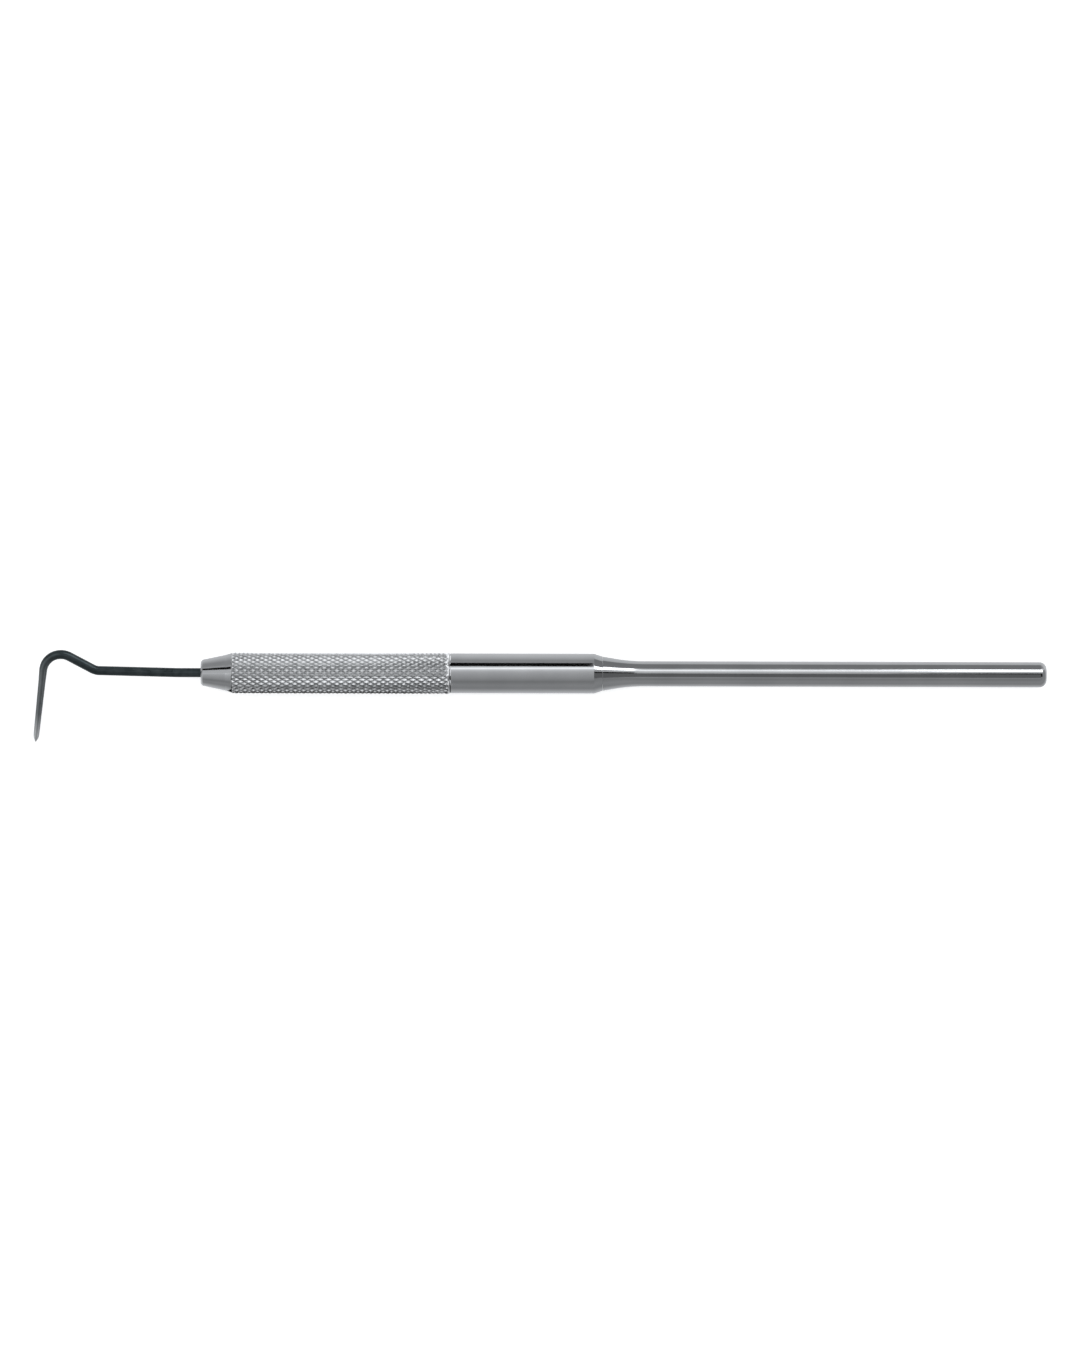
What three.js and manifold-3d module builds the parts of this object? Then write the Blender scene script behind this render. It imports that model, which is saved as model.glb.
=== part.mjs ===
// A hook scriber: a bent needle held by a collet and a screwed nose in a knurled steel handle.
// All lengths are in millimetres and all angles in degrees, unless a name says otherwise.
// The handle lies along X. Its flat tail end is at x = 0 and the needle points towards -X.
// The tool lies on its side, so its lowest points are the grip and the needle's point.
import * as THREE from 'three';
import { mergeVertices } from 'three/addons/utils/BufferGeometryUtils.js';
import Module from 'manifold-3d';

const wasm = await Module();
wasm.setup();

// ---- driving dimensions ----

// tail stem
const ROD_D = 4.25;
const ROD_LENGTH = 70.0;
const ROD_END_RADIUS = 1.2;
const TAPER_D = 5.8;
const TAPER_LENGTH = 4.45;
const TAPER_BLEND_RADIUS = 30;
const STEM_SPIGOT_LENGTH = 14;

// grip tube
const BARREL_D = 6.7;
const BARREL_LENGTH = 25.6;
const BARREL_END_D = 5.8;
const BARREL_END_CHAMFER = 1.4;
const KNURL_D = 6.9;
const KNURL_LENGTH = 36.5;
const KNURL_CHAMFER = 0.12;
const RUNOUT_DEPTH = 0.06;
const RUNOUT_LENGTH = 0.3;
const TUBE_BORE_D = 3.6;
const COUNTERBORE_D = 4.4;

// screwed nose
const NOSE_LENGTH = 5.25;
const NOSE_FRONT_D = 4.4;
const NOSE_CONE_D = 6.0;
const NOSE_CONE_LENGTH = 4.1;
const NOSE_BACK_D = 6.7;
const NOSE_EDGE = 0.3;
const NOSE_HOLE_D = 1.8;
const NOSE_HOLE_LENGTH = 2.2;
const NOSE_BORE_D = 3.2;
const SEAT_ANGLE = 30;
const THREAD_D = 5.0;
const THREAD_PITCH = 0.8;
const THREAD_FLANK_ANGLE = 30;
const THREAD_CORE_D = 4.1;
const THREAD_TURNS = 4;
const THREAD_RELIEF = 0.6;
const SPIGOT_POINT = 0.6;
const THREAD_GAP = 0.06;

// collet and the bush behind it
const COLLET_D = 3.1;
const COLLET_FRONT_D = 2.2;
const COLLET_OVERHANG = 0.5;
const SLIT_WIDTH = 0.3;
const SLIT_COUNT = 4;
const SLIT_LENGTH = 4.9;
const BUSH_LENGTH = 4.4;
const BUSH_BORE_D = 1.75;
const BUSH_COUNTERSINK = 0.3;

// needle
const WIRE_D = 1.55;
const SHANK_LENGTH = 20;
const BOW_START = 3.4;
const BOW_ANGLE = 1.4;
const BOW_RADIUS = 40;
const NECK_LENGTH = 12.7;
const ELBOW_ANGLE = 27.3;
const ELBOW_RADIUS = 2.4;
const RISE_LENGTH = 4.4;
const HOOK_ANGLE = 112.2;
const HOOK_RADIUS = 3.0;
const LEG_LENGTH = 12.6;
const TIP_RADIUS = 0.08;

// clearances between pieces
const FIT = 0.01;
const SLIDE_FIT = 0.02;
const SEAT_GAP = 0.03;

const TURNED_SEGMENTS = 28;
const WIRE_SEGMENTS = 16;

// ---- places along the handle ----

const TAPER_START_X = -ROD_LENGTH;
const TUBE_BACK_X = TAPER_START_X - TAPER_LENGTH;
const KNURL_BACK_X = TUBE_BACK_X - BARREL_LENGTH;
const TUBE_FRONT_X = KNURL_BACK_X - KNURL_LENGTH;
const NOSE_FRONT_X = TUBE_FRONT_X - NOSE_LENGTH;
const THREAD_START_X = TUBE_FRONT_X + THREAD_RELIEF + THREAD_PITCH / 2;
const NOSE_END_X = THREAD_START_X + THREAD_TURNS * THREAD_PITCH + SPIGOT_POINT;
const COLLET_BACK_X = NOSE_END_X + COLLET_OVERHANG;
const BUSH_FRONT_X = COLLET_BACK_X + SEAT_GAP;
const BUSH_BACK_X = BUSH_FRONT_X + BUSH_LENGTH;

const radians = THREE.MathUtils.degToRad;
const SEAT_SLOPE = Math.tan(radians(SEAT_ANGLE));

// ---- helpers ----

// Drops everything but positions and merges the vertices that coincide, so the mesh is closed.
function closed(geometry) {
  geometry.deleteAttribute('normal');
  geometry.deleteAttribute('uv');
  return mergeVertices(geometry, 1e-5);
}

// A solid of revolution about X. The outline lists [x, radius] points: along the outside in the
// direction of +X, then back along the bore, or from axis to axis if there is no bore.
function turned(outline, segments = TURNED_SEGMENTS) {
  const points = outline.map(([x, radius]) => new THREE.Vector2(radius, x));
  const hollow = outline.every(([, radius]) => radius > 0);
  if (hollow) {
    points.push(points[0].clone());
  }
  const geometry = closed(new THREE.LatheGeometry(points, segments));
  geometry.rotateZ(-Math.PI / 2);
  return geometry;
}

// Points on an arc in the [x, radius] plane, from one angle to another.
function arc(centreX, centreR, radius, fromAngle, toAngle, steps) {
  const points = [];
  for (let i = 0; i <= steps; i += 1) {
    const angle = radians(fromAngle + ((toAngle - fromAngle) * i) / steps);
    points.push([centreX + radius * Math.cos(angle), centreR + radius * Math.sin(angle)]);
  }
  return points;
}

function toSolid(geometry) {
  return new wasm.Manifold(
    new wasm.Mesh({
      numProp: 3,
      vertProperties: new Float32Array(geometry.getAttribute('position').array),
      triVerts: new Uint32Array(geometry.getIndex().array),
    }),
  );
}

function toGeometry(solid) {
  const mesh = solid.getMesh();
  const geometry = new THREE.BufferGeometry();
  geometry.setAttribute('position', new THREE.BufferAttribute(mesh.vertProperties, 3));
  geometry.setIndex(new THREE.BufferAttribute(mesh.triVerts, 1));
  return geometry;
}

// A right-hand helical ridge about X that starts at one x and runs for whole turns. Its section
// is the thread's tooth, grown by a gap on every side; a straight extrusion is wound round the
// axis, one radian for each unit of its depth.
function threadRidge(startX, turns, gap) {
  const crest = THREAD_D / 2 + gap;
  const root = THREAD_CORE_D / 2 + gap - 0.05;
  const halfCrest = THREAD_PITCH / 16 + gap / 2;
  const halfRoot = halfCrest + (crest - root) * Math.tan(radians(THREAD_FLANK_ANGLE));
  const tooth = new THREE.Shape([
    new THREE.Vector2(-halfRoot, root),
    new THREE.Vector2(halfRoot, root),
    new THREE.Vector2(halfCrest, crest),
    new THREE.Vector2(-halfCrest, crest),
  ]);
  const ridge = new THREE.ExtrudeGeometry(tooth, {
    depth: turns * 2 * Math.PI,
    steps: turns * TURNED_SEGMENTS,
    bevelEnabled: false,
  });
  const position = ridge.getAttribute('position');
  for (let i = 0; i < position.count; i += 1) {
    const angle = position.getZ(i);
    const radius = position.getY(i);
    const x = startX + position.getX(i) + (THREAD_PITCH * angle) / (2 * Math.PI);
    position.setXYZ(i, x, radius * Math.cos(angle), radius * Math.sin(angle));
  }
  return closed(ridge);
}

// ---- pieces ----

// Spigot, taper and rod, turned in one. The taper runs into the rod with a long concave blend,
// and the rod's end is rounded down to a small flat.
function tailStem() {
  const rodR = ROD_D / 2;
  const spigotR = TUBE_BORE_D / 2 - FIT;
  const shoulderX = TUBE_BACK_X + SEAT_GAP;
  const slope = THREE.MathUtils.radToDeg(Math.atan((TAPER_D - ROD_D) / 2 / TAPER_LENGTH));
  const blendX = TAPER_START_X + TAPER_BLEND_RADIUS * Math.tan(radians(slope / 2));
  return turned([
    [TUBE_BACK_X - STEM_SPIGOT_LENGTH, 0],
    [TUBE_BACK_X - STEM_SPIGOT_LENGTH, spigotR - 0.4],
    [TUBE_BACK_X - STEM_SPIGOT_LENGTH + 0.5, spigotR],
    [shoulderX, spigotR],
    [shoulderX, TAPER_D / 2],
    ...arc(blendX, rodR + TAPER_BLEND_RADIUS, TAPER_BLEND_RADIUS, 270 - slope, 270, 4),
    ...arc(-ROD_END_RADIUS, rodR - ROD_END_RADIUS, ROD_END_RADIUS, 90, 0, 6),
    [0, 0],
  ]);
}

// The knurled grip and the plain barrel behind it are one tube. The knurled length is drawn at
// the diameter over the knurl's crests, with a small chamfer at its front end and a shallow
// run-out groove between it and the barrel.
function gripTube() {
  const knurlR = KNURL_D / 2;
  const barrelR = BARREL_D / 2;
  const threadMouthR = THREAD_CORE_D / 2 + THREAD_GAP;
  const threadEndX = COLLET_BACK_X - 0.2;
  const runoutX = KNURL_BACK_X + RUNOUT_LENGTH / 2;
  const tube = turned([
    [TUBE_FRONT_X, NOSE_BACK_D / 2],
    [TUBE_FRONT_X + KNURL_CHAMFER, knurlR],
    [KNURL_BACK_X - RUNOUT_LENGTH / 2, knurlR],
    [KNURL_BACK_X, barrelR - RUNOUT_DEPTH],
    [runoutX, barrelR],
    [TUBE_BACK_X - BARREL_END_CHAMFER, barrelR],
    [TUBE_BACK_X, BARREL_END_D / 2],
    [TUBE_BACK_X, TUBE_BORE_D / 2],
    [BUSH_BACK_X, TUBE_BORE_D / 2],
    [BUSH_BACK_X, COUNTERBORE_D / 2],
    [threadEndX, COUNTERBORE_D / 2],
    [threadEndX, threadMouthR],
    [TUBE_FRONT_X + 0.3, threadMouthR],
    [TUBE_FRONT_X, THREAD_D / 2 + THREAD_GAP],
  ]);
  // the groove runs in from the mouth, whole turns ahead of the nose's own thread and past it
  const groove = threadRidge(THREAD_START_X - 2 * THREAD_PITCH, THREAD_TURNS + 3, THREAD_GAP);
  return toGeometry(toSolid(tube).subtract(toSolid(groove)));
}

// A cone with a flat front, flared at its back to meet the knurl, and a threaded spigot. The
// needle leaves by the small hole, and the conical seat behind it closes the collet.
function noseCone() {
  const shoulderX = TUBE_FRONT_X - SEAT_GAP;
  const seatStartX = NOSE_FRONT_X + NOSE_HOLE_LENGTH;
  const seatEndX = seatStartX + (NOSE_BORE_D - NOSE_HOLE_D) / 2 / SEAT_SLOPE;
  const body = turned([
    [NOSE_FRONT_X, NOSE_FRONT_D / 2 - NOSE_EDGE],
    [NOSE_FRONT_X + NOSE_EDGE, NOSE_FRONT_D / 2],
    [NOSE_FRONT_X + NOSE_CONE_LENGTH, NOSE_CONE_D / 2],
    [shoulderX, NOSE_BACK_D / 2],
    [shoulderX, THREAD_CORE_D / 2 - 0.05],
    [TUBE_FRONT_X + THREAD_RELIEF, THREAD_CORE_D / 2 - 0.05],
    [TUBE_FRONT_X + THREAD_RELIEF, THREAD_CORE_D / 2],
    [NOSE_END_X - 0.2, THREAD_CORE_D / 2],
    [NOSE_END_X, THREAD_CORE_D / 2 - 0.2],
    [NOSE_END_X, NOSE_BORE_D / 2],
    [seatEndX, NOSE_BORE_D / 2],
    [seatStartX, NOSE_HOLE_D / 2],
    [NOSE_FRONT_X, NOSE_HOLE_D / 2],
  ]);
  const thread = threadRidge(THREAD_START_X, THREAD_TURNS, 0);
  return toGeometry(toSolid(body).add(toSolid(thread)));
}

// A split sleeve. The slits leave a whole ring at its back, and its conical front sits in the nose.
function collet() {
  const frontR = COLLET_FRONT_D / 2;
  const seatStartX = NOSE_FRONT_X + NOSE_HOLE_LENGTH;
  const clearance = SEAT_GAP / Math.cos(radians(SEAT_ANGLE));
  const frontX = seatStartX + (frontR + clearance - NOSE_HOLE_D / 2) / SEAT_SLOPE;
  const sleeve = turned([
    [frontX, frontR],
    [frontX + (COLLET_D / 2 - frontR) / SEAT_SLOPE, COLLET_D / 2],
    [COLLET_BACK_X - 0.15, COLLET_D / 2],
    [COLLET_BACK_X, COLLET_D / 2 - 0.15],
    [COLLET_BACK_X, WIRE_D / 2 + SLIDE_FIT],
    [frontX, WIRE_D / 2 + SLIDE_FIT],
  ]);
  let solid = toSolid(sleeve);
  for (let i = 0; i < SLIT_COUNT / 2; i += 1) {
    const slit = closed(new THREE.BoxGeometry(2 * SLIT_LENGTH, COLLET_D + 1, SLIT_WIDTH));
    slit.rotateX((i * 2 * Math.PI) / SLIT_COUNT + Math.PI / SLIT_COUNT);
    slit.translate(frontX, 0, 0);
    solid = solid.subtract(toSolid(slit));
  }
  return toGeometry(solid);
}

// A bush pressed into the tube: the collet backs onto it, and it steadies the needle's shank.
function colletBush() {
  const bushR = COUNTERBORE_D / 2 - FIT;
  const boreR = BUSH_BORE_D / 2;
  return turned([
    [BUSH_FRONT_X, bushR - 0.2],
    [BUSH_FRONT_X + 0.2, bushR],
    [BUSH_BACK_X - SEAT_GAP, bushR],
    [BUSH_BACK_X - SEAT_GAP, boreR],
    [BUSH_FRONT_X + BUSH_COUNTERSINK, boreR],
    [BUSH_FRONT_X, boreR + BUSH_COUNTERSINK],
  ]);
}

// The needle's centre line as it is bent from straight wire: runs, each followed by a bend.
// Positive bends turn away from the hook's open side.
const NEEDLE_BENDS = [
  { run: SHANK_LENGTH + BOW_START, angle: BOW_ANGLE, radius: BOW_RADIUS },
  { run: NECK_LENGTH, angle: ELBOW_ANGLE, radius: ELBOW_RADIUS },
  { run: RISE_LENGTH, angle: -HOOK_ANGLE, radius: HOOK_RADIUS },
  { run: LEG_LENGTH, angle: 0, radius: 1 },
];

// The point and direction at a distance along the bent centre line. "out" runs forwards from
// the shank's inner end, and "up" is square to it in the plane of the hook.
function alongNeedle(distance) {
  let out = 0;
  let up = 0;
  let heading = 0;
  let left = distance;
  for (const { run, angle, radius } of NEEDLE_BENDS) {
    const step = Math.min(left, run);
    out += step * Math.cos(heading);
    up += step * Math.sin(heading);
    left -= step;
    const turn = Math.sign(angle) * Math.min(left / radius, Math.abs(radians(angle)));
    const chord = 2 * radius * Math.abs(Math.sin(turn / 2));
    out += chord * Math.cos(heading + turn / 2);
    up += chord * Math.sin(heading + turn / 2);
    heading += turn;
    left -= Math.abs(turn) * radius;
  }
  return { out, up, heading };
}

// Distances along the wire at which the bent needle needs a ring of vertices.
function needleStations() {
  const stations = [0, 0.3];
  let at = 0;
  for (const { run, angle, radius } of NEEDLE_BENDS) {
    at += run;
    const steps = Math.ceil(Math.abs(angle) / 7);
    for (let i = 0; i <= steps; i += 1) {
      stations.push(at + (radius * Math.abs(radians(angle)) * i) / Math.max(steps, 1));
    }
    at += radius * Math.abs(radians(angle));
  }
  return { stations, length: at };
}

// The short point and the ground taper: the wire's radius at each distance back from the tip.
const NEEDLE_TAPER = [
  [0.0, TIP_RADIUS],
  [0.75, 0.44],
  [1.5, 0.5],
  [4.5, 0.52],
  [7.0, 0.56],
  [11.0, 0.62],
  [14.0, 0.73],
  [17.0, WIRE_D / 2],
];

function needleRadius(fromTip) {
  for (let i = 1; i < NEEDLE_TAPER.length; i += 1) {
    const [nearD, nearR] = NEEDLE_TAPER[i - 1];
    const [farD, farR] = NEEDLE_TAPER[i];
    if (fromTip <= farD) {
      return nearR + ((farR - nearR) * (fromTip - nearD)) / (farD - nearD);
    }
  }
  return WIRE_D / 2;
}

// The shoulder of the needle's point rests on the plane that the grip lies on. Its drop below
// the handle's axis, in the plane of the hook, sets how far the hook tilts.
function hookTilt(length) {
  const [shoulderAt, shoulderR] = NEEDLE_TAPER[1];
  const drop = -alongNeedle(length - shoulderAt).up;
  return Math.asin((KNURL_D / 2 - shoulderR) / drop);
}

// A straight ground needle, bent to shape: each ring of the straight wire moves to its place
// on the centre line and turns square to it.
function scribingNeedle() {
  const { stations, length } = needleStations();
  for (const [fromTip] of NEEDLE_TAPER) {
    stations.push(length - fromTip);
  }
  const rings = [...new Set(stations.map((s) => Number(s.toFixed(4))))].sort((a, b) => a - b);
  const profile = rings.map((s) => [s, s === 0 ? WIRE_D / 2 - 0.2 : needleRadius(length - s)]);
  const geometry = turned([[0, 0], ...profile, [profile.at(-1)[0], 0]], WIRE_SEGMENTS);
  const tilt = hookTilt(length);
  const position = geometry.getAttribute('position');
  for (let i = 0; i < position.count; i += 1) {
    const { out, up, heading } = alongNeedle(position.getX(i));
    const across = position.getY(i);
    const side = position.getZ(i);
    const u = out - across * Math.sin(heading);
    const v = up + across * Math.cos(heading);
    const x = NOSE_FRONT_X + SHANK_LENGTH - u;
    const y = v * Math.cos(tilt) + side * Math.sin(tilt);
    const z = v * Math.sin(tilt) - side * Math.cos(tilt);
    position.setXYZ(i, x, y, z);
  }
  return geometry;
}

// ---- materials and assembly ----

function steel(color, roughness) {
  return new THREE.MeshStandardMaterial({ color, roughness, metalness: 1 });
}

const satinSteel = steel(0x9a9da1, 0.3);
const knurledSteel = steel(0xa4a6a9, 0.38);
const blackenedSteel = steel(0x4a5052, 0.35);
const springSteel = steel(0x8a8780, 0.4);
const brass = steel(0xb5994f, 0.4);

const group = new THREE.Group();

function addPiece(name, geometry, material) {
  geometry.computeVertexNormals();
  const mesh = new THREE.Mesh(geometry, material);
  mesh.name = name;
  group.add(mesh);
}

addPiece('scribing_needle', scribingNeedle(), blackenedSteel);
addPiece('nose_cone', noseCone(), satinSteel);
addPiece('collet', collet(), springSteel);
addPiece('collet_bush', colletBush(), brass);
addPiece('grip_tube', gripTube(), knurledSteel);
addPiece('tail_stem', tailStem(), satinSteel);

export default group;
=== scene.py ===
# A hook scriber: fine surfaces, materials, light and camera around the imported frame.
# Lengths named in millimetres are turned into metres by MM; the row frame is in metres.
import math

import bmesh
import bpy
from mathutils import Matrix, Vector

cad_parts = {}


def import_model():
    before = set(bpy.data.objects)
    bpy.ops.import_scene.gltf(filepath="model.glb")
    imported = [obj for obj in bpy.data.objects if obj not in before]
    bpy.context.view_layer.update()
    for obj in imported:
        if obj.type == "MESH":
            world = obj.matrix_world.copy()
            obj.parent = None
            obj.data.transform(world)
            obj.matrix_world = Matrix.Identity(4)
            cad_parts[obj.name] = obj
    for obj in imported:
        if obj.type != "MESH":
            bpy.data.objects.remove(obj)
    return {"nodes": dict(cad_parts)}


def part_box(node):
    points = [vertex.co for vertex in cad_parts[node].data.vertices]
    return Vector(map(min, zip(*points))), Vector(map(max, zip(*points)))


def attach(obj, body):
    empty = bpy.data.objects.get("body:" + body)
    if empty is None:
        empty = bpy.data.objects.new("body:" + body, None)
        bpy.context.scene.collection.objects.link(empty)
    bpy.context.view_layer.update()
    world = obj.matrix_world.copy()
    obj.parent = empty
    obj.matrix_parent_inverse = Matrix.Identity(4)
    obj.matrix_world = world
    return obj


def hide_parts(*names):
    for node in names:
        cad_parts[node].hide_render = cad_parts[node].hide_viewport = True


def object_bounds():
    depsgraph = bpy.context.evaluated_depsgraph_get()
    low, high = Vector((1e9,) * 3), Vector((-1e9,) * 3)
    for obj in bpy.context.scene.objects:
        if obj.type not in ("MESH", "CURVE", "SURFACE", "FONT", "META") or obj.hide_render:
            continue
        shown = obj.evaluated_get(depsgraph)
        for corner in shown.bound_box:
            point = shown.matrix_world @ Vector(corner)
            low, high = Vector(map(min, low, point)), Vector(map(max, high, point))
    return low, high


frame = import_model()
cad_low, cad_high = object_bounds()

MM = 0.001
TAU = 2 * math.pi

# sides round the stem and the nose, then round the needle and along it
ROUND_COLUMNS = 96
NEEDLE_COLUMNS = 32
NEEDLE_RINGS = 300
# a margin that keeps the rounding of numbers from cutting into a smooth surface, in millimetres
ROUNDING = 1e-4

# ---- sizes, in millimetres where no comment says otherwise ----

# tail stem
ROD_D = 4.25
ROD_LENGTH = 70.0
ROD_END_RADIUS = 1.2
TAPER_D = 5.8
TAPER_BLEND_RADIUS = 30
STEM_SPIGOT_D = 3.58
STEM_CHAMFER_LENGTH = 0.5
STEM_CHAMFER_DEPTH = 0.4

# grip tube
BARREL_D = 6.7
BARREL_LENGTH = 25.6
BARREL_END_D = 5.8
BARREL_END_CHAMFER = 1.4
KNURL_CHAMFER = 0.12
KNURL_TEETH = 26
KNURL_PERIOD = 1.41
KNURL_DEPTH = 0.26
KNURL_FADE = 0.25
# the share of a tooth's rise that is left off, which makes its crest flat
KNURL_CREST = 0.14
# steps of the mesh from the bottom of a groove to the crest
KNURL_STEPS = 4
RUNOUT_DEPTH = 0.06
RUNOUT_LENGTH = 0.3
TUBE_BORE_D = 3.6
COUNTERBORE_D = 4.4
COUNTERBORE_LIP = 0.2
# how much narrower the thread's countersink gets for each millimetre inwards
MOUTH_SLOPE = 1.5

# nose
NOSE_FRONT_D = 4.4
NOSE_CONE_D = 6.0
NOSE_CONE_LENGTH = 4.1
NOSE_EDGE = 0.3
NOSE_HOLE_D = 1.8
NOSE_HOLE_LENGTH = 2.2
NOSE_BORE_D = 3.2
THREAD_D = 5.0
THREAD_CORE_D = 4.1
THREAD_PITCH = 0.8
THREAD_TURNS = 4
THREAD_GAP = 0.06
THREAD_RELIEF = 0.6
RELIEF_DEPTH = 0.05
RELIEF_STEP = 0.1
SPIGOT_CHAMFER = 0.2
# shares of half a pitch: the thread's flat root, then its flank
THREAD_ROOT = 0.15
THREAD_FLANK = 0.72
# the share of a pitch over which the thread rises from nothing at each end
THREAD_RUNOUT = 0.3
SEAT_SLOPE = math.tan(math.radians(30))
# the gap left between pieces that bear on each other
SEAT_GAP = 0.03

# needle
WIRE_D = 1.55
TIP_RADIUS = 0.08
SHANK_LENGTH = 20
# the hidden end of the shank is rounded over this length, by this much of its radius
SHANK_END = 0.2
SHANK_END_DROP = 0.15
NEEDLE_BENDS = [
    # run, then a bend of an angle in degrees and a radius
    (SHANK_LENGTH + 3.4, 1.4, 40),
    (12.7, 27.3, 2.4),
    (4.4, -112.2, 3.0),
    (12.6, 0, 1),
]
NEEDLE_TAPER = [
    # distance back from the tip, then the wire's radius there
    (0.0, TIP_RADIUS),
    (0.75, 0.44),
    (1.5, 0.5),
    (4.5, 0.52),
    (7.0, 0.56),
    (11.0, 0.62),
    (14.0, 0.73),
    (17.0, WIRE_D / 2),
]


def span(node):
    """A CAD node's lowest x, highest x and radius about the handle's axis, in millimetres."""
    low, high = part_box(node)
    return low.x / MM, high.x / MM, max(high.y, high.z) / MM


TUBE_FRONT, TUBE_BACK, KNURL_R = span("grip_tube")
NOSE_FRONT, NOSE_BACK, NOSE_BACK_R = span("nose_cone")
STEM_FRONT, STEM_BACK, _ = span("tail_stem")
BUSH_FRONT, BUSH_BACK, _ = span("collet_bush")
KNURL_BACK = TUBE_BACK - BARREL_LENGTH
TAPER_START = STEM_BACK - ROD_LENGTH
THREAD_START = TUBE_FRONT + THREAD_RELIEF + THREAD_PITCH / 2
THREAD_END = THREAD_START + THREAD_TURNS * THREAD_PITCH


# ---- mesh helpers ----


def fillet(corner, before, after, radius, steps=4):
    """Points of the arc that rounds a corner between its two neighbours."""
    a = (Vector(before) - Vector(corner)).normalized()
    b = (Vector(after) - Vector(corner)).normalized()
    half = a.angle(b) / 2
    reach = radius / math.tan(half)
    start = Vector(corner) + a * reach
    end = Vector(corner) + b * reach
    centre = Vector(corner) + (a + b).normalized() * (radius / math.sin(half))
    points = []
    for i in range(steps + 1):
        spoke = (start - centre).lerp(end - centre, i / steps).normalized()
        points.append(tuple(centre + spoke * radius))
    return points


def rounded(outline):
    """An outline of (x, radius) or (x, radius, corner radius) points, with its corners rounded."""
    points = []
    for i, point in enumerate(outline):
        if len(point) == 3:
            before = outline[i - 1][:2]
            after = outline[(i + 1) % len(outline)][:2]
            points += fillet(point[:2], before, after, point[2])
        else:
            points.append(point)
    return points


def arc(centre_x, centre_r, radius, start, end, steps):
    """Points on an arc in the (x, radius) plane, between two angles in degrees."""
    points = []
    for i in range(steps + 1):
        angle = math.radians(start + (end - start) * i / steps)
        points.append((centre_x + radius * math.cos(angle), centre_r + radius * math.sin(angle)))
    return points


def subdivided(outline, step):
    """The outline with long stretches along x cut to the given step."""
    points = []
    for (x0, r0), (x1, r1) in zip(outline, outline[1:]):
        pieces = max(1, math.ceil(abs(x1 - x0) / step))
        points += [(x0 + (x1 - x0) * i / pieces, r0 + (r1 - r0) * i / pieces) for i in range(pieces)]
    return points + [outline[-1]]


def ring_mesh(name, rings, ring_loops_back):
    """A mesh through rings of points. The rings close on themselves, or flat faces close the ends."""
    mesh = bpy.data.meshes.new(name)
    bm = bmesh.new()
    rows = [[bm.verts.new([c * MM for c in p]) for p in ring] for ring in rings]
    pairs = list(zip(rows, rows[1:]))
    if ring_loops_back:
        pairs.append((rows[-1], rows[0]))
    count = len(rows[0])
    for near, far in pairs:
        for i in range(count):
            j = (i + 1) % count
            bm.faces.new((near[i], near[j], far[j], far[i]))
    if not ring_loops_back:
        bm.faces.new(rows[0])
        bm.faces.new(rows[-1])
    bmesh.ops.recalc_face_normals(bm, faces=bm.faces)
    bm.to_mesh(mesh)
    bm.free()
    return mesh


def add_piece(name, mesh, body, node, sharp_angle=32):
    """Puts a mesh in the scene as the piece that stands for a CAD node."""
    for polygon in mesh.polygons:
        polygon.use_smooth = True
    mesh.set_sharp_from_angle(angle=math.radians(sharp_angle))
    piece = bpy.data.objects.new(name, mesh)
    bpy.context.scene.collection.objects.link(piece)
    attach(piece, body)
    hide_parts(node)
    return piece


def revolved(outline, columns, radius_at=None):
    """Rings about X from an outline. radius_at(x, radius, angle) may give a radius of its own."""
    rings = []
    for x, r in outline:
        ring = []
        for i in range(columns):
            angle = TAU * i / columns
            here = radius_at(x, r, angle) if radius_at else r
            ring.append((x, here * math.cos(angle), here * math.sin(angle)))
        rings.append(ring)
    return rings


def wave(phase):
    """A triangular wave: 0 at whole numbers and 1 half-way between."""
    return 1 - abs(2 * (phase - math.floor(phase)) - 1)


def thread_height(x, angle, gap=0.0):
    """How far the nose's thread stands above its core. A gap makes the groove that it runs in."""
    turn = (x - THREAD_START) / THREAD_PITCH - angle / TAU
    flank = wave(turn + 0.5) + 2 * gap / THREAD_PITCH
    return (THREAD_D - THREAD_CORE_D) / 2 * min(1.0, max(0.0, (flank - THREAD_ROOT) / THREAD_FLANK))


# ---- the grip: a diamond knurl, then the plain barrel ----


def knurl_radius(x, radius, angle):
    """The surface left by two families of rolled grooves that cross."""
    along = (x - TUBE_FRONT) / KNURL_PERIOD
    around = KNURL_TEETH * angle / TAU
    tooth = min(wave(around + along), wave(around - along))
    tooth = min(1.0, tooth / (1 - KNURL_CREST))
    fade = min(1.0, max(0.0, (KNURL_BACK - RUNOUT_LENGTH - x) / KNURL_FADE))
    bottom = KNURL_R - KNURL_DEPTH + (KNURL_DEPTH - (KNURL_R - radius)) * (1 - fade)
    return min(radius, bottom + KNURL_DEPTH * tooth * fade + ROUNDING)


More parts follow.
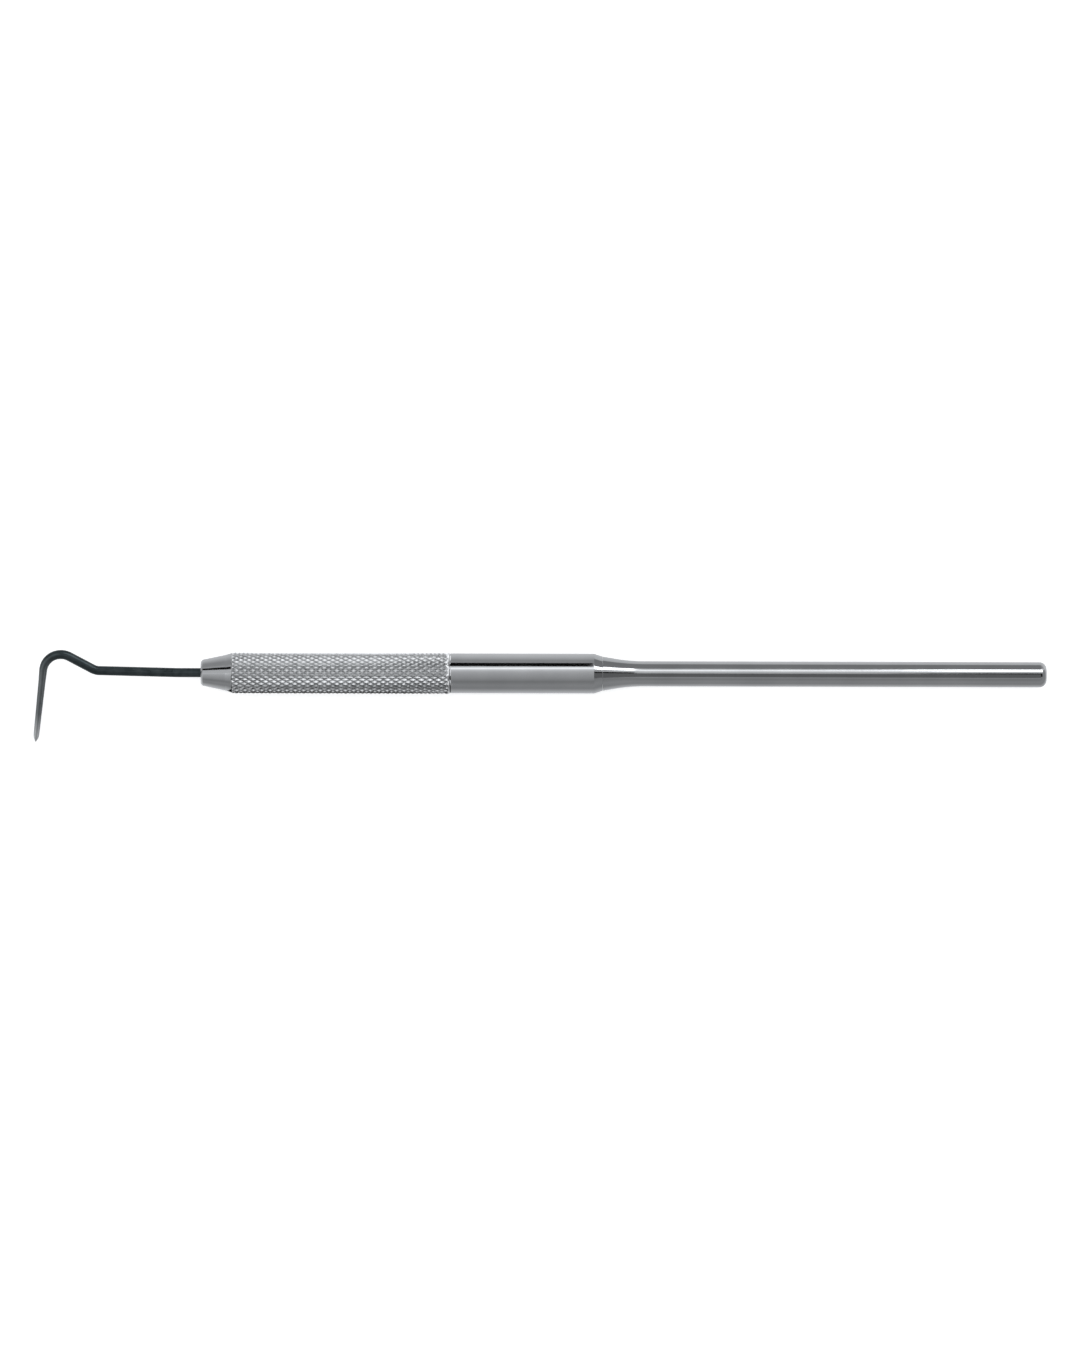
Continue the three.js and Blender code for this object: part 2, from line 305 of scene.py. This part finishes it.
def grip_mesh():
    barrel_r = BARREL_D / 2
    bore_r = TUBE_BORE_D / 2
    counterbore_r = COUNTERBORE_D / 2
    thread_r = THREAD_CORE_D / 2 + THREAD_GAP
    thread_back = BUSH_FRONT - SEAT_GAP - COUNTERBORE_LIP
    crest_start = (TUBE_FRONT + KNURL_CHAMFER, KNURL_R)
    crest_end = (KNURL_BACK - RUNOUT_LENGTH / 2, KNURL_R)
    knurled = subdivided([(TUBE_FRONT, NOSE_BACK_R), crest_start], KNURL_CHAMFER / 2)
    knurled += subdivided([crest_start, crest_end], KNURL_PERIOD / (2 * KNURL_STEPS))[1:]
    barrel = rounded(
        [
            crest_end,
            (KNURL_BACK, barrel_r - RUNOUT_DEPTH),
            (KNURL_BACK + RUNOUT_LENGTH / 2, barrel_r, 0.1),
            (TUBE_BACK - BARREL_END_CHAMFER, barrel_r, 0.35),
            (TUBE_BACK, BARREL_END_D / 2, 0.02),
            (TUBE_BACK, bore_r, 0.05),
            (BUSH_BACK + SEAT_GAP, bore_r),
            (BUSH_BACK + SEAT_GAP, counterbore_r),
            (thread_back, counterbore_r),
            (thread_back, thread_r),
        ]
    )
    threaded = subdivided([(thread_back, thread_r), (TUBE_FRONT, thread_r)], THREAD_PITCH / 16)

    def groove_at(x, r, angle):
        countersink = THREAD_D / 2 + THREAD_GAP - MOUTH_SLOPE * (x - TUBE_FRONT)
        return max(countersink, r + thread_height(x, angle, THREAD_GAP))

    columns = KNURL_TEETH * 2 * KNURL_STEPS
    rings = revolved(knurled, columns, knurl_radius)
    rings += revolved(barrel[1:], columns)
    rings += revolved(threaded[1:], columns, groove_at)
    return ring_mesh("grip", rings, ring_loops_back=True)


# ---- the nose: a cone with a threaded spigot ----


def nose_mesh():
    shoulder = TUBE_FRONT - SEAT_GAP
    core_r = THREAD_CORE_D / 2
    seat_start = NOSE_FRONT + NOSE_HOLE_LENGTH
    seat_end = seat_start + (NOSE_BORE_D - NOSE_HOLE_D) / 2 / SEAT_SLOPE
    cone = rounded(
        [
            (NOSE_FRONT, NOSE_HOLE_D / 2, 0.08),
            (NOSE_FRONT, NOSE_FRONT_D / 2 - NOSE_EDGE, 0.15),
            (NOSE_FRONT + NOSE_EDGE, NOSE_FRONT_D / 2, 0.15),
            (NOSE_FRONT + NOSE_CONE_LENGTH, NOSE_CONE_D / 2, 0.3),
            (shoulder, NOSE_BACK_R, 0.06),
            (shoulder, core_r - RELIEF_DEPTH),
            (TUBE_FRONT + THREAD_RELIEF - RELIEF_STEP, core_r - RELIEF_DEPTH),
        ]
    )
    spigot_ends = [(TUBE_FRONT + THREAD_RELIEF, core_r), (NOSE_BACK - SPIGOT_CHAMFER, core_r)]
    spigot = subdivided(spigot_ends, THREAD_PITCH / 16)
    bore = [
        (NOSE_BACK, core_r - SPIGOT_CHAMFER),
        (NOSE_BACK, NOSE_BORE_D / 2),
        (seat_end, NOSE_BORE_D / 2),
        (seat_start, NOSE_HOLE_D / 2),
    ]

    def thread_at(x, r, angle):
        run = THREAD_RUNOUT * THREAD_PITCH
        start = (x - THREAD_START + THREAD_PITCH / 2) / run
        stop = (THREAD_END + 2 * run - x) / run
        return r + thread_height(x, angle) * min(1.0, max(0.0, min(start, stop)))

    rings = revolved(cone, ROUND_COLUMNS)
    rings += revolved(spigot, ROUND_COLUMNS, thread_at)
    rings += revolved(bore, ROUND_COLUMNS)
    return ring_mesh("nose", rings, ring_loops_back=True)


# ---- the tail stem ----


def stem_mesh():
    rod_r = ROD_D / 2
    shoulder = TUBE_BACK + SEAT_GAP
    slope = math.degrees(math.atan((TAPER_D - ROD_D) / 2 / (TAPER_START - TUBE_BACK)))
    blend_x = TAPER_START + TAPER_BLEND_RADIUS * math.tan(math.radians(slope / 2))
    outline = rounded(
        [
            (STEM_FRONT, STEM_SPIGOT_D / 2 - STEM_CHAMFER_DEPTH),
            (STEM_FRONT + STEM_CHAMFER_LENGTH, STEM_SPIGOT_D / 2),
            (shoulder, STEM_SPIGOT_D / 2),
            (shoulder, TAPER_D / 2, 0.02),
            (blend_x - TAPER_BLEND_RADIUS * math.sin(math.radians(slope)), rod_r),
        ]
    )[:-1]
    centre_r = rod_r + TAPER_BLEND_RADIUS
    outline += arc(blend_x, centre_r, TAPER_BLEND_RADIUS, 270 - slope, 270, 10)
    outline += arc(STEM_BACK - ROD_END_RADIUS, rod_r - ROD_END_RADIUS, ROD_END_RADIUS, 90, 0, 14)
    return ring_mesh("stem", revolved(outline, ROUND_COLUMNS), ring_loops_back=False)


# ---- the needle ----


def along_needle(distance):
    """The point and heading at a distance along the bent centre line, in the hook's plane."""
    out, up, heading, left = 0.0, 0.0, 0.0, distance
    for run, angle, radius in NEEDLE_BENDS:
        step = min(left, run)
        out += step * math.cos(heading)
        up += step * math.sin(heading)
        left -= step
        turn = math.copysign(min(left / radius, abs(math.radians(angle))), angle)
        chord = 2 * radius * abs(math.sin(turn / 2))
        out += chord * math.cos(heading + turn / 2)
        up += chord * math.sin(heading + turn / 2)
        heading += turn
        left -= abs(turn) * radius
    return out, up, heading


def needle_radius(from_tip):
    for (near_d, near_r), (far_d, far_r) in zip(NEEDLE_TAPER, NEEDLE_TAPER[1:]):
        if from_tip <= far_d:
            return near_r + (far_r - near_r) * (from_tip - near_d) / (far_d - near_d)
    return WIRE_D / 2


def needle_mesh():
    length = sum(run + abs(math.radians(angle)) * radius for run, angle, radius in NEEDLE_BENDS)
    shoulder_at, shoulder_r = NEEDLE_TAPER[1]
    drop = -along_needle(length - shoulder_at)[1]
    tilt = math.asin((KNURL_R - shoulder_r) / drop)
    step = (length - SHANK_END) / NEEDLE_RINGS
    stations = [0.0, SHANK_END / 4] + [SHANK_END + step * i for i in range(NEEDLE_RINGS + 1)]
    rings = []
    for station in stations:
        out, up, heading = along_needle(station)
        end_drop = SHANK_END_DROP * max(0.0, 1 - station / SHANK_END) ** 2
        radius = needle_radius(length - station) - end_drop
        ring = []
        for i in range(NEEDLE_COLUMNS):
            angle = TAU * i / NEEDLE_COLUMNS
            across = radius * math.cos(angle)
            side = radius * math.sin(angle)
            u = out - across * math.sin(heading)
            v = up + across * math.cos(heading)
            x = NOSE_FRONT + SHANK_LENGTH - u
            y = v * math.cos(tilt) + side * math.sin(tilt)
            z = v * math.sin(tilt) - side * math.cos(tilt)
            ring.append((x, y, z))
        rings.append(ring)
    return ring_mesh("needle", rings, ring_loops_back=False)


# ---- materials ----


class Nodes:
    """Short calls for building a node tree."""

    def __init__(self, tree, coords):
        self.tree = tree
        self.coords = self.add("ShaderNodeTexCoord").outputs[coords]

    def add(self, kind, inputs=(), **settings):
        node = self.tree.nodes.new(kind)
        for key, value in settings.items():
            setattr(node, key, value)
        for key, value in dict(inputs).items():
            self.feed(node.inputs[key], value)
        return node

    def feed(self, socket, value):
        """Links a socket to another, or gives it a plain value."""
        if isinstance(value, bpy.types.NodeSocket):
            self.tree.links.new(value, socket)
        else:
            socket.default_value = value

    def math(self, operation, a, b=0.0):
        return self.add("ShaderNodeMath", {0: a, 1: b}, operation=operation).outputs[0]

    def axes(self):
        split = self.add("ShaderNodeSeparateXYZ", {0: self.coords})
        return split.outputs["X"], split.outputs["Y"], split.outputs["Z"]

    def map(self, value, low, high, to_low=0.0, to_high=1.0):
        inputs = {"Value": value, "From Min": low, "From Max": high, "To Min": to_low, "To Max": to_high}
        return self.add("ShaderNodeMapRange", inputs).outputs["Result"]

    def ramp(self, value, stops):
        """A colour ramp through (position, colour) stops."""
        node = self.add("ShaderNodeValToRGB", {"Fac": value})
        elements = node.color_ramp.elements
        while len(elements) < len(stops):
            elements.new(0.5)
        for element, (position, color) in zip(elements, stops):
            element.position = position
            element.color = (*color, 1)
        return node.outputs["Color"]


class Material(Nodes):
    """A metal: its own colour, roughness and bump are added by node calls."""

    def __init__(self, name):
        self.material = bpy.data.materials.new(name)
        self.material.use_nodes = True
        super().__init__(self.material.node_tree, "Object")
        self.shader = self.tree.nodes["Principled BSDF"]
        self.set("Metallic", 1.0)

    def set(self, socket, value):
        self.feed(self.shader.inputs[socket], value)

    def noise(self, size, stretch=(1, 1, 1), detail=3.0):
        """Noise with features of a size in millimetres, made longer along each axis by stretch."""
        scale = [1 / s for s in stretch]
        mapped = self.add("ShaderNodeMapping", {"Vector": self.coords, "Scale": scale})
        inputs = {"Vector": mapped.outputs[0], "Scale": 1 / (size * MM), "Detail": detail}
        return self.add("ShaderNodeTexNoise", inputs).outputs["Fac"]

    def bump(self, height, distance, strength, normal=None):
        """Bump of a distance in millimetres."""
        inputs = {"Height": height, "Distance": distance * MM, "Strength": strength}
        if normal:
            inputs["Normal"] = normal
        return self.add("ShaderNodeBump", inputs).outputs["Normal"]


def turned_metal(name, dark, light, rough_low, rough_high):
    """Metal with fine rings from turning, lengthwise polishing strokes and a little handling haze."""
    m = Material(name)
    haze = m.noise(6, detail=4)
    rings = m.noise(0.09, stretch=(1, 60, 60), detail=2)
    strokes = m.noise(0.12, stretch=(60, 1, 1), detail=2)
    m.set("Base Color", m.ramp(haze, [(0.3, dark), (0.7, light)]))
    wear = m.math("ADD", haze, m.math("MULTIPLY", strokes, 0.4))
    m.set("Roughness", m.map(wear, 0.5, 0.9, rough_low, rough_high))
    m.set("Normal", m.bump(strokes, 0.003, 0.1, m.bump(rings, 0.003, 0.2)))
    return m.material


def knurled_steel():
    """The same steel, with dull groove bottoms darkened by painted shade and worn crests lightened by a
    painted highlight.
    """
    m = Material("knurled_steel")
    _, y, z = m.axes()
    radius = m.math("SQRT", m.math("ADD", m.math("MULTIPLY", y, y), m.math("MULTIPLY", z, z)))
    depth = m.map(radius, (KNURL_R - KNURL_DEPTH) * MM, KNURL_R * MM)
    haze = m.math("MULTIPLY", m.math("SUBTRACT", m.noise(1.1, detail=4), 0.5), 0.5)
    painted_light_and_wear = m.math("ADD", depth, haze)
    # painted shade and highlight: the colour runs from much darker than the steel in the groove bottoms
    # to lighter than the steel on the crests, which are also worn
    groove, flank, crest = (0.2, 0.205, 0.21), (0.7, 0.705, 0.715), (0.95, 0.955, 0.965)
    m.set("Base Color", m.ramp(painted_light_and_wear, [(0.0, groove), (0.45, flank), (1.0, crest)]))
    m.set("Roughness", m.map(painted_light_and_wear, 0.0, 1.0, 0.42, 0.28))
    m.set("Normal", m.bump(m.noise(0.11, detail=2), 0.006, 0.3))
    return m.material


# how much of the bare steel shows
BLACK, RUBBED, GROUND, BRIGHT = [(share,) * 3 for share in (0, 0.2, 0.5, 1)]
# the wear's start and end along the leg in y, and the bend that it stops short of in x, in mm
WEAR_Y = (3.5, -11.0)
WEAR_X = (-164, -167)
# how far haze moves the edge of the wear, in mm
WEAR_RAGGED = 1.5


def blackened_steel():
    """Hardened black wire, with the scale rubbed thin along the leg and ground off at the tip."""
    m = Material("blackened_steel")
    x, y, _ = m.axes()
    haze = m.noise(1.4, detail=4)
    ragged = m.math("ADD", y, m.math("MULTIPLY", haze, WEAR_RAGGED * MM))
    along_leg = m.map(ragged, WEAR_Y[0] * MM, WEAR_Y[1] * MM)
    stops = [(0.0, BLACK), (0.24, RUBBED), (0.66, RUBBED), (0.78, GROUND), (0.97, BRIGHT)]
    past_bend = m.map(x, WEAR_X[0] * MM, WEAR_X[1] * MM)
    share = m.math("MULTIPLY", m.ramp(along_leg, stops), past_bend)
    black = m.ramp(haze, [(0.3, (0.045, 0.058, 0.062)), (0.7, (0.085, 0.102, 0.108))])
    mix = m.add("ShaderNodeMix", {0: share, 6: black, 7: (0.74, 0.75, 0.76, 1)}, data_type="RGBA")
    m.set("Base Color", mix.outputs[2])
    m.set("Roughness", m.map(haze, 0.3, 0.7, 0.26, 0.4))
    m.set("Normal", m.bump(m.noise(0.16), 0.004, 0.3))
    return m.material


# ---- light, floor and camera ----

# the slightly cool white of the sky and the cards
STUDIO_WHITE = (0.98, 1, 1.02)
# in millimetres: the height that the camera takes in at the tool, and its place above the tool
FRAME_HEIGHT = 226.4
CAMERA_X = -84.94
CAMERA_Y = -0.245
CAMERA_Z = 1500
# the picture's turn, in degrees
CAMERA_ROLL = 0.145

SKY = [
    # angle from straight up towards +Y in degrees, then brightness
    (-180, 0.8),
    (-155, 0.74),
    (-113, 0.45),
    (-97, 0.31),
    (-72, 0.33),
    (-48, 0.26),
    (-30, 0.37),
    (-6, 0.48),
    (9, 0.58),
    (20, 0.78),
    (26, 1.15),
    (30, 1.7),
    (34, 1.2),
    (39, 0.75),
    (52, 0.5),
    (64, 0.35),
    (82, 0.36),
    (98, 0.53),
    (115, 0.66),
    (150, 0.72),
    (180, 0.8),
]
SKY_TURN = 0.68
OVER_NOSE = (NOSE_FRONT - 30, NOSE_FRONT - 1)
OVER_GRIP = (TUBE_FRONT - 3, TUBE_BACK - 0.5)
OVER_KNURL = (TUBE_FRONT - 3, KNURL_BACK - 2)
WITHIN_KNURL = (TUBE_FRONT - 1, KNURL_BACK - 3.5)
OVER_TAIL = (TAPER_START + 0.5, 10)
BEYOND_TAIL = (80, 1200)
CARDS = [
    # name, range along x in mm, angle from straight up towards +Y and half the width in degrees,
    # distance from the tool's axis in mm, brightness
    ("shade_over_nose", OVER_NOSE, 29, 8, 30, 0.0),
    ("glow_over_nose", OVER_NOSE, 9, 12, 30, 0.62),
    ("shade_over_grip", OVER_GRIP, 50, 10.5, 30, 0.0),
    ("light_over_knurl", WITHIN_KNURL, 2, 72, 22, 0.96),
    ("glow_over_knurl", OVER_KNURL, 11, 8, 20, 1.25),
    ("glow_beside_knurl", OVER_KNURL, 103, 20, 22, 1.4),
    ("shade_over_knurl", OVER_KNURL, -28, 13, 19, 0.0),
    ("shade_beside_knurl", OVER_KNURL, -108, 37, 12, 0.0),
    ("shade_over_tail", OVER_TAIL, -12, 16, 30, 0.15),
    ("shade_above_tail", OVER_TAIL, 71, 25, 30, 0.25),
    ("light_behind_taper", BEYOND_TAIL, 40, 11, 1200, 3.0),
    ("shade_behind_taper", BEYOND_TAIL, -4, 17, 1200, 0.0),
]


def emission(name, color, strength):
    """A plain glowing material."""
    material = bpy.data.materials.new(name)
    material.use_nodes = True
    tree = material.node_tree
    tree.nodes.remove(tree.nodes["Principled BSDF"])
    glow = tree.nodes.new("ShaderNodeEmission")
    glow.inputs["Color"].default_value = (*color, 1)
    glow.inputs["Strength"].default_value = strength
    tree.links.new(glow.outputs[0], tree.nodes["Material Output"].inputs["Surface"])
    return material


def world():
    """Soft grey all round, set by the angle from straight up, in bands turned in plan from X."""
    studio = bpy.data.worlds.new("studio")
    bpy.context.scene.world = studio
    studio.use_nodes = True
    n = Nodes(studio.node_tree, "Generated")
    x, y, z = n.axes()
    across = n.math("SUBTRACT", y, n.math("MULTIPLY", x, SKY_TURN))
    angle = n.map(n.math("ARCTAN2", across, z), -math.pi, math.pi)
    stops = []
    for degrees, level in SKY:
        stops.append((0.5 + degrees / 360, [level * share for share in STUDIO_WHITE]))
    n.feed(studio.node_tree.nodes["Background"].inputs["Color"], n.ramp(angle, stops))


def card(name, x_range, degrees, half_width, distance, level):
    """A strip of light or shade along the tool, seen only in its reflections."""
    angle = math.radians(degrees)
    half = distance * MM * math.tan(math.radians(half_width))
    centre = Vector((0, math.sin(angle), math.cos(angle))) * distance * MM
    across = Vector((0, math.cos(angle), -math.sin(angle))) * half
    low_x, high_x = (x * MM for x in x_range)
    corners = [
        centre - across + Vector((low_x, 0, 0)),
        centre - across + Vector((high_x, 0, 0)),
        centre + across + Vector((high_x, 0, 0)),
        centre + across + Vector((low_x, 0, 0)),
    ]
    mesh = bpy.data.meshes.new(name)
    mesh.from_pydata(corners, [], [(0, 1, 2, 3)])
    mesh.materials.append(emission(name, STUDIO_WHITE, level))
    piece = bpy.data.objects.new(name, mesh)
    bpy.context.scene.collection.objects.link(piece)
    piece.visible_camera = False
    piece.visible_diffuse = False
    piece.visible_shadow = False
    piece.visible_transmission = False


def floor():
    middle = (cad_low.x + cad_high.x) / 2
    bpy.ops.mesh.primitive_plane_add(size=4, location=(middle, 0, cad_low.z))
    plane = bpy.context.object
    plane.name = "floor"
    plane.visible_glossy = False
    m = Material("floor_white")
    m.set("Metallic", 0.0)
    m.set("Base Color", (0.9, 0.9, 0.9, 1))
    m.set("Roughness", 0.9)
    m.set("Emission Color", (1, 1, 1, 1))
    m.set("Emission Strength", 0.6)
    plane.data.materials.append(m.material)


def top_light():
    """An overhead sun for the floor and the dull surfaces; the steel doesn't mirror it."""
    light = bpy.data.lights.new("top_light", "SUN")
    light.energy = 0.55
    light.angle = math.radians(70)
    lamp = bpy.data.objects.new("top_light", light)
    lamp.visible_glossy = False
    bpy.context.scene.collection.objects.link(lamp)


def camera():
    data = bpy.data.cameras.new("camera")
    data.sensor_width = 36
    data.lens = data.sensor_width * CAMERA_Z / FRAME_HEIGHT
    data.clip_start = 0.1
    data.clip_end = 10
    cam = bpy.data.objects.new("camera", data)
    cam.location = (CAMERA_X * MM, CAMERA_Y * MM, CAMERA_Z * MM)
    cam.rotation_euler = (0, 0, math.radians(CAMERA_ROLL))
    bpy.context.scene.collection.objects.link(cam)
    bpy.context.scene.camera = cam


camera()
world()
floor()
top_light()
for name, x_range, degrees, half_width, distance, level in CARDS:
    card(name, x_range, degrees, half_width, distance, level)

steel = turned_metal("turned_steel", (0.57, 0.575, 0.585), (0.63, 0.635, 0.645), 0.07, 0.12)
spring_steel = turned_metal("spring_steel", (0.28, 0.27, 0.26), (0.38, 0.365, 0.34), 0.2, 0.34)
brass = turned_metal("bush_brass", (0.6, 0.43, 0.2), (0.72, 0.54, 0.27), 0.18, 0.32)
knurl_steel = knurled_steel()
black = blackened_steel()

grip = add_piece("grip", grip_mesh(), "handle", "grip_tube", 25)
grip.data.materials.append(knurl_steel)
grip.data.materials.append(steel)
for polygon in grip.data.polygons:
    if polygon.center.x > (KNURL_BACK - RUNOUT_LENGTH / 2) * MM:
        polygon.material_index = 1

nose = add_piece("nose", nose_mesh(), "nose", "nose_cone")
nose.data.materials.append(steel)
stem = add_piece("stem", stem_mesh(), "handle", "tail_stem")
stem.data.materials.append(steel)
needle = add_piece("needle", needle_mesh(), "needle", "scribing_needle")
needle.data.materials.append(black)

for name, metal in (("collet", spring_steel), ("collet_bush", brass)):
    frame["nodes"][name].data.materials.clear()
    frame["nodes"][name].data.materials.append(metal)

bpy.context.scene.view_settings.view_transform = "Standard"
